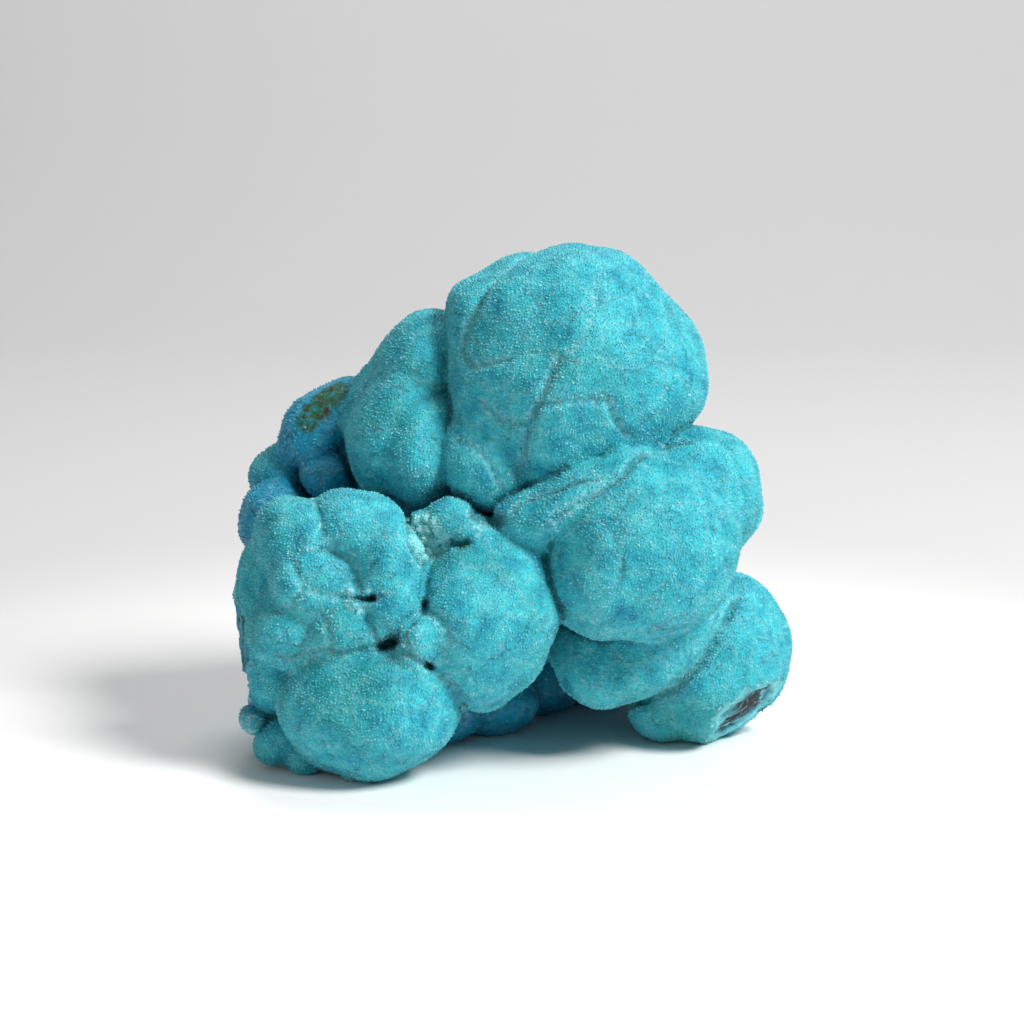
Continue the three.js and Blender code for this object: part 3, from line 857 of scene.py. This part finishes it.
def grown_colour(tree, place, given, patches):
    """The colour of a grown surface: crust or bare chrysocolla, with its frost, cracks and crumbs."""
    broken_up = between(tree, noise(tree, place, 1.3, 3, 0.6), 0.35, 0.7)
    warp = {0: noise(tree, place, 0.5, 2, output="Color"), 1: (1.6, 1.6, 1.6), 2: place}
    warped = add(tree, "ShaderNodeVectorMath", warp, operation="MULTIPLY_ADD").outputs[0]
    seams = voronoi(tree, warped, 0.19, "DISTANCE_TO_EDGE")["Distance"]
    crust = crust_colour(tree, place, patches, seams)
    bare = mix(tree, between(tree, patches, 0.4, 0.65), BARE_BLUE, BARE_DARK)
    colour = mix(tree, between(tree, given["Bare"], 0.15, 0.8), crust, bare)
    colour = mix(tree, frost_share(tree, given, seams, broken_up), colour, FROST)
    colour = cracks_and_painted_shade(tree, colour, given, warped, patches)
    crumbs = mix(tree, times(tree, broken_up, 0.55), CRUMB_PALE, FROST)
    return mix(tree, times(tree, given["Crumb"], 0.9), colour, crumbs)


def inside_colour(tree, place, given, patches, speckle):
    """The colour of a broken face, pale at its rim, and how much of it is rock."""
    rim = mix(tree, between(tree, given["Under"], 0.8, 2.2), RIM_BLUE, VEIN_BLUE)
    uneven = number(tree, "MULTIPLY_ADD", patches, 2.4, -1.2)
    rock_share = between(tree, number(tree, "ADD", given["Under"], uneven), 1.2, 2.4)
    inside = mix(tree, rock_share, rim, rock_colour(tree, place, speckle))
    return mix(tree, given["Glass"], inside, streaked_glass(tree, place)), rock_share


def mineral_group():
    """The shared node group for the specimen's colour, and for how much of it is rock."""
    inputs, outputs = dict.fromkeys(FACTS, "Float"), {"Color": "Color", "Rock": "Float"}
    tree, given, result = node_group("mineral_colour", "ShaderNodeTree", inputs, outputs)
    place = in_millimetres(tree)
    patches = noise(tree, place, 0.3, 4, 0.6)
    speckle = noise(tree, place, 1.1, 5, 0.7)
    inside, rock_share = inside_colour(tree, place, given, patches, speckle)
    inside_share = between(tree, given["Under"], 0.3, 0.8)
    colour = mix(tree, inside_share, grown_colour(tree, place, given, patches), inside)
    ragged = number(tree, "MULTIPLY", given["Stain"], between(tree, speckle, 0.3, 0.5), clamp=True)
    stain = mix(tree, between(tree, speckle, 0.5, 0.62), STAIN_GREEN, STAIN_BROWN)
    tree.links.new(mix(tree, ragged, colour, stain), result["Color"])
    rock_shows = times(tree, rock_share, rest_of(tree, given["Glass"]))
    tree.links.new(times(tree, inside_share, rock_shows), result["Rock"])
    return tree


def mineral_outputs(tree, group):
    """The shared group placed in a material, fed with the facts of the surface."""
    made = add(tree, "ShaderNodeGroup", node_tree=group)
    for label in FACTS:
        tree.links.new(attribute(tree, label.lower()), made.inputs[label])
    return made.outputs


def new_material(name):
    material = bpy.data.materials.new(name)
    material.use_nodes = True
    tree = material.node_tree
    return material, tree, tree.nodes["Principled BSDF"].inputs


def crust_material(group):
    """The ground between the druse grains, the bare lobes and the broken faces."""
    material, tree, shader = new_material("chrysocolla_crust")
    mineral = mineral_outputs(tree, group)
    place = in_millimetres(tree)
    grain = voronoi(tree, place, 2.2)
    tone = add(tree, "ShaderNodeSeparateColor", {0: grain["Color"]}).outputs["Red"]
    tone = number(tree, "MULTIPLY_ADD", between(tree, tone, 0.0, 1.0), 0.3, 0.85)
    tree.links.new(mix(tree, 1.0, mineral["Color"], tone, "MULTIPLY"), shader["Base Color"])
    rough = number(tree, "MULTIPLY_ADD", attribute(tree, "bare"), -0.2, 0.55)
    rough = number(tree, "MULTIPLY_ADD", mineral["Rock"], 0.3, rough, clamp=True)
    tree.links.new(rough, shader["Roughness"])
    height = number(tree, "MULTIPLY_ADD", grain["Distance"], -0.7, noise(tree, place, 4.0, 4, 0.65))
    bump = add(tree, "ShaderNodeBump", {"Strength": 0.55, "Distance": 0.00022, "Height": height})
    tree.links.new(bump.outputs["Normal"], shader["Normal"])
    shader["Specular IOR Level"].default_value = 0.25
    return material


def grain_material(group):
    """Clear to milky quartz grains, which show the blue under them and glint."""
    material, tree, shader = new_material("quartz_druse")
    mineral = mineral_outputs(tree, group)
    tone = attribute(tree, "tone")
    milky = number(tree, "MULTIPLY_ADD", between(tree, tone, 0.975, 1.0), 0.22, times(tree, tone, 0.08))
    pale = mix(tree, milky, mineral["Color"], FROST)
    dark = number(tree, "MULTIPLY_ADD", between(tree, tone, 0.0, 0.5), 0.12, 0.88)
    tree.links.new(mix(tree, 1.0, pale, dark, "MULTIPLY"), shader["Base Color"])
    tree.links.new(number(tree, "MULTIPLY_ADD", tone, -0.25, 0.7), shader["Roughness"])
    shader["Specular IOR Level"].default_value = 0.5
    return material


# The druse: quartz grains strewn over every grown surface, in bands of height. Lengths are in metres.
BANDS = 4  # each is a piece of its own
BAND_BOTTOM, BAND_TOP = -1.0, 1000.0  # heights in mm, beyond both ends of the specimen
FIRST_SEED = 7
GRAIN_SPACING = 0.00036
GRAIN_DENSITY = 3.0e7  # grains tried for each square metre, before the spacing thins them out
GRAIN_SIZE = 0.00046
SMALLEST, LARGEST = 0.55, 1.25  # in grain sizes
LEAN, TURN = 0.6, 6.28  # how far a grain may lean and turn, in radians
GRAIN_SIDES = 5
GRAIN_RADIUS, GRAIN_HEIGHT, GRAIN_SINK = 0.5, 0.8, 0.25  # in grain sizes

DRUSE_INPUTS = {
    "Surface": "Geometry", "Spacing": "Float", "Grain Size": "Float", "Lowest": "Float", "Highest": "Float",
    "Seed": "Int", "Finish": "Material",
}

# The sockets of each kind of Random Value node, by number: the least, the most and the outcome.
RANDOM_SOCKETS = {"FLOAT": (2, 3, 1), "FLOAT_VECTOR": (0, 1, 0)}


def named(tree, name):
    made = add(tree, "GeometryNodeInputNamedAttribute", {"Name": name}, data_type="FLOAT")
    return made.outputs["Attribute"]


def random_value(tree, low, high, seed, kind="FLOAT"):
    least, most, outcome = RANDOM_SOCKETS[kind]
    made = add(tree, "FunctionNodeRandomValue", {least: low, most: high, "Seed": seed}, data_type=kind)
    return made.outputs[outcome]


def in_band(tree, given):
    """Whether the surface lies in the band of height."""
    height = named(tree, "height")
    above = add(tree, "FunctionNodeCompare", {0: height, 1: given["Lowest"]}, operation="GREATER_EQUAL")
    below = add(tree, "FunctionNodeCompare", {0: height, 1: given["Highest"]}, operation="LESS_THAN")
    both = {0: above.outputs[0], 1: below.outputs[0]}
    return add(tree, "FunctionNodeBooleanMath", both, operation="AND").outputs[0]


def strewn_points(tree, given):
    """Points over the band, denser where the druse attribute is high."""
    return add(
        tree, "GeometryNodeDistributePointsOnFaces",
        {
            "Mesh": given["Surface"], "Selection": in_band(tree, given), "Distance Min": given["Spacing"],
            "Density Max": GRAIN_DENSITY, "Density Factor": named(tree, "druse"), "Seed": given["Seed"],
        },
        distribute_method="POISSON",
    ).outputs


def grain_shape(tree):
    """One pointed grain, sunk a little into the surface."""
    cone = add(
        tree, "GeometryNodeMeshCone",
        {"Vertices": GRAIN_SIDES, "Radius Top": 0.0, "Radius Bottom": GRAIN_RADIUS, "Depth": GRAIN_HEIGHT},
        fill_type="NGON",
    )
    sunk = {"Geometry": cone.outputs["Mesh"], "Translation": (0.0, 0.0, -GRAIN_SINK)}
    return add(tree, "GeometryNodeTransform", sunk).outputs["Geometry"]


def placed_grains(tree, given):
    """The grains on their points, each with its own lean, size and tone."""
    strewn = strewn_points(tree, given)
    tilt = random_value(tree, (-LEAN, -LEAN, 0.0), (LEAN, LEAN, TURN), given["Seed"], "FLOAT_VECTOR")
    turning = {0: strewn["Rotation"], 1: tilt}
    turned_grain = add(tree, "FunctionNodeRotateRotation", turning, rotation_space="LOCAL").outputs[0]
    size = times(tree, random_value(tree, SMALLEST, LARGEST, given["Seed"]), given["Grain Size"])
    tone = random_value(tree, 0.0, 1.0, given["Seed"])
    toned = {"Geometry": strewn["Points"], "Name": "tone", "Value": tone}
    points = add(tree, "GeometryNodeStoreNamedAttribute", toned, data_type="FLOAT").outputs["Geometry"]
    placed = {"Points": points, "Instance": grain_shape(tree), "Rotation": turned_grain, "Scale": size}
    instances = add(tree, "GeometryNodeInstanceOnPoints", placed).outputs["Instances"]
    return add(tree, "GeometryNodeRealizeInstances", {"Geometry": instances}).outputs["Geometry"]


def druse_tree():
    """The geometry nodes that grow the grains of one band."""
    outputs = {"Grains": "Geometry"}
    tree, given, result = node_group("druse_grains", "GeometryNodeTree", DRUSE_INPUTS, outputs)
    finish = {"Geometry": placed_grains(tree, given), "Material": given["Finish"]}
    tree.links.new(add(tree, "GeometryNodeSetMaterial", finish).outputs["Geometry"], result["Grains"])
    return tree


def grown_piece(name, surface, tree, values):
    """A plain mesh piece from running the geometry node tree over a surface."""
    source = new_object(name + "_source", surface.data)
    modifier = source.modifiers.new("grow", "NODES")
    modifier.node_group = tree
    for socket in tree.interface.items_tree:
        if socket.name in values:
            modifier[socket.identifier] = values[socket.name]
    evaluated = source.evaluated_get(bpy.context.evaluated_depsgraph_get())
    mesh = bpy.data.meshes.new_from_object(evaluated)
    source.modifiers.remove(modifier)
    bpy.data.objects.remove(source)
    mesh.name = name
    return new_object(name, mesh)


def band_limits(facts):
    """The heights between which each band holds about as many grains."""
    heights, shares = facts["height"].astype(np.float32), facts["druse"].astype(np.float32)
    order = np.argsort(heights)
    filled = np.cumsum(shares[order]) / shares.sum()
    limits = [float(heights[order][np.searchsorted(filled, i / BANDS)]) for i in range(1, BANDS)]
    return [BAND_BOTTOM, *limits, BAND_TOP]


def druse_pieces(surface, facts, material):
    """The grains, as a piece for each band."""
    limits = band_limits(facts)
    tree = druse_tree()
    pieces = []
    for i in range(BANDS):
        values = {
            "Spacing": GRAIN_SPACING, "Grain Size": GRAIN_SIZE, "Lowest": limits[i], "Highest": limits[i + 1],
            "Seed": FIRST_SEED + i, "Finish": material,
        }
        pieces.append(grown_piece(f"druse_band_{i + 1}", surface, tree, values))
    return pieces


# The studio. Lengths are in metres.
BEND_STEPS = 13
AMBIENT = 0.22  # the strength of the light from all round
# Each lamp's place, width, power in watts and colour.
LAMPS = {
    "key_light": ((0.46, -0.28, 0.58), 0.28, 7.2, (1, 0.99, 0.97)),
    "fill_light": ((-0.55, -0.45, 0.35), 0.5, 0.35, (1, 1, 1)),
    "back_light": ((0.0, 0.35, 0.75), 0.35, 2.6, (1, 1, 1)),
}


def paper_with_painted_light():
    """Paper with painted light: palest under the specimen as a painted pool of light, darker round it as
    painted falloff, and between the two up the backdrop.
    """
    material, tree, shader = new_material("studio_paper_painted_light")
    place = add(tree, "ShaderNodeTexCoord").outputs["Object"]
    axes = add(tree, "ShaderNodeSeparateXYZ", {0: place}).outputs
    flat = add(tree, "ShaderNodeCombineXYZ", {"X": axes["X"], "Y": number(tree, "MAXIMUM", axes["Y"], 0.0)})
    away = add(tree, "ShaderNodeVectorMath", {0: flat.outputs[0]}, operation="LENGTH").outputs["Value"]
    # Painted light: the paper is painted paler near the specimen and darker away from it, with a middle grey
    # up the backdrop.
    paper = mix(tree, between(tree, away, 0.03, 0.16), srgb(246, 246, 246), srgb(206, 206, 207))
    paper = mix(tree, between(tree, axes["Z"], 0.02, 0.3), paper, srgb(226, 226, 227))
    tree.links.new(paper, shader["Base Color"])
    shader["Roughness"].default_value = 0.85
    return material


def floor_and_backdrop():
    """A pale floor that curves up into the backdrop behind the specimen."""
    half_width, front, bend, back, top = 1.6, -1.6, 0.35, 0.75, 1.3
    outline = [(front, 0.0)]
    for a in np.linspace(0, math.pi / 2, BEND_STEPS):
        outline.append((back - bend + bend * math.sin(a), bend - bend * math.cos(a)))
    outline.append((back, top))
    corners = [(x, y, z) for y, z in outline for x in (-half_width, half_width)]
    faces = [(2 * i, 2 * i + 1, 2 * i + 3, 2 * i + 2) for i in range(len(outline) - 1)]
    mesh = bpy.data.meshes.new("studio_floor")
    mesh.from_pydata(corners, [], faces)
    mesh.shade_smooth()
    mesh.materials.append(paper_with_painted_light())
    return new_object("studio_floor", mesh)


def photograph_camera(target):
    back = Vector(BACKWARD)
    camera_data = bpy.data.cameras.new("photograph_camera")
    camera_data.lens, camera_data.sensor_width = LENS, SENSOR
    camera_data.clip_start = 0.01
    camera = new_object("photograph_camera", camera_data)
    camera.location = target + back * CAMERA_DISTANCE * MM
    camera.rotation_euler = (-back).to_track_quat("-Z", "Y").to_euler()
    bpy.context.scene.camera = camera


def studio(centre):
    """The light round the specimen, and plain colours without a film look."""
    world = bpy.data.worlds.new("studio")
    world.use_nodes = True
    background = world.node_tree.nodes["Background"].inputs
    background["Color"].default_value = srgb(240, 240, 240)
    background["Strength"].default_value = AMBIENT
    bpy.context.scene.world = world
    for name, (place, width, power, colour) in LAMPS.items():
        light = bpy.data.lights.new(name, "AREA")
        light.shape = "DISK"
        light.size, light.energy, light.color = width, power, colour
        lamp = new_object(name, light)
        lamp.location = place
        lamp.rotation_euler = (centre - Vector(place)).to_track_quat("-Z", "Y").to_euler()
    bpy.context.scene.view_settings.view_transform = "Standard"


points, quads, slope = specimen_net()
shift = frame_shift(points)
facts = surface_facts(points, slope)
specimen = mesh_piece("chrysocolla_mass", (points + shift) * MM, quads, facts)
mineral = mineral_group()
specimen.data.materials.append(crust_material(mineral))
druse = druse_pieces(specimen, facts, grain_material(mineral))

for piece in (specimen, *druse):
    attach(piece, "root")
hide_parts(NODE)

photograph_camera(Vector(TARGET + shift) * MM)
studio(Vector(TARGET + shift) * MM)
floor_and_backdrop()
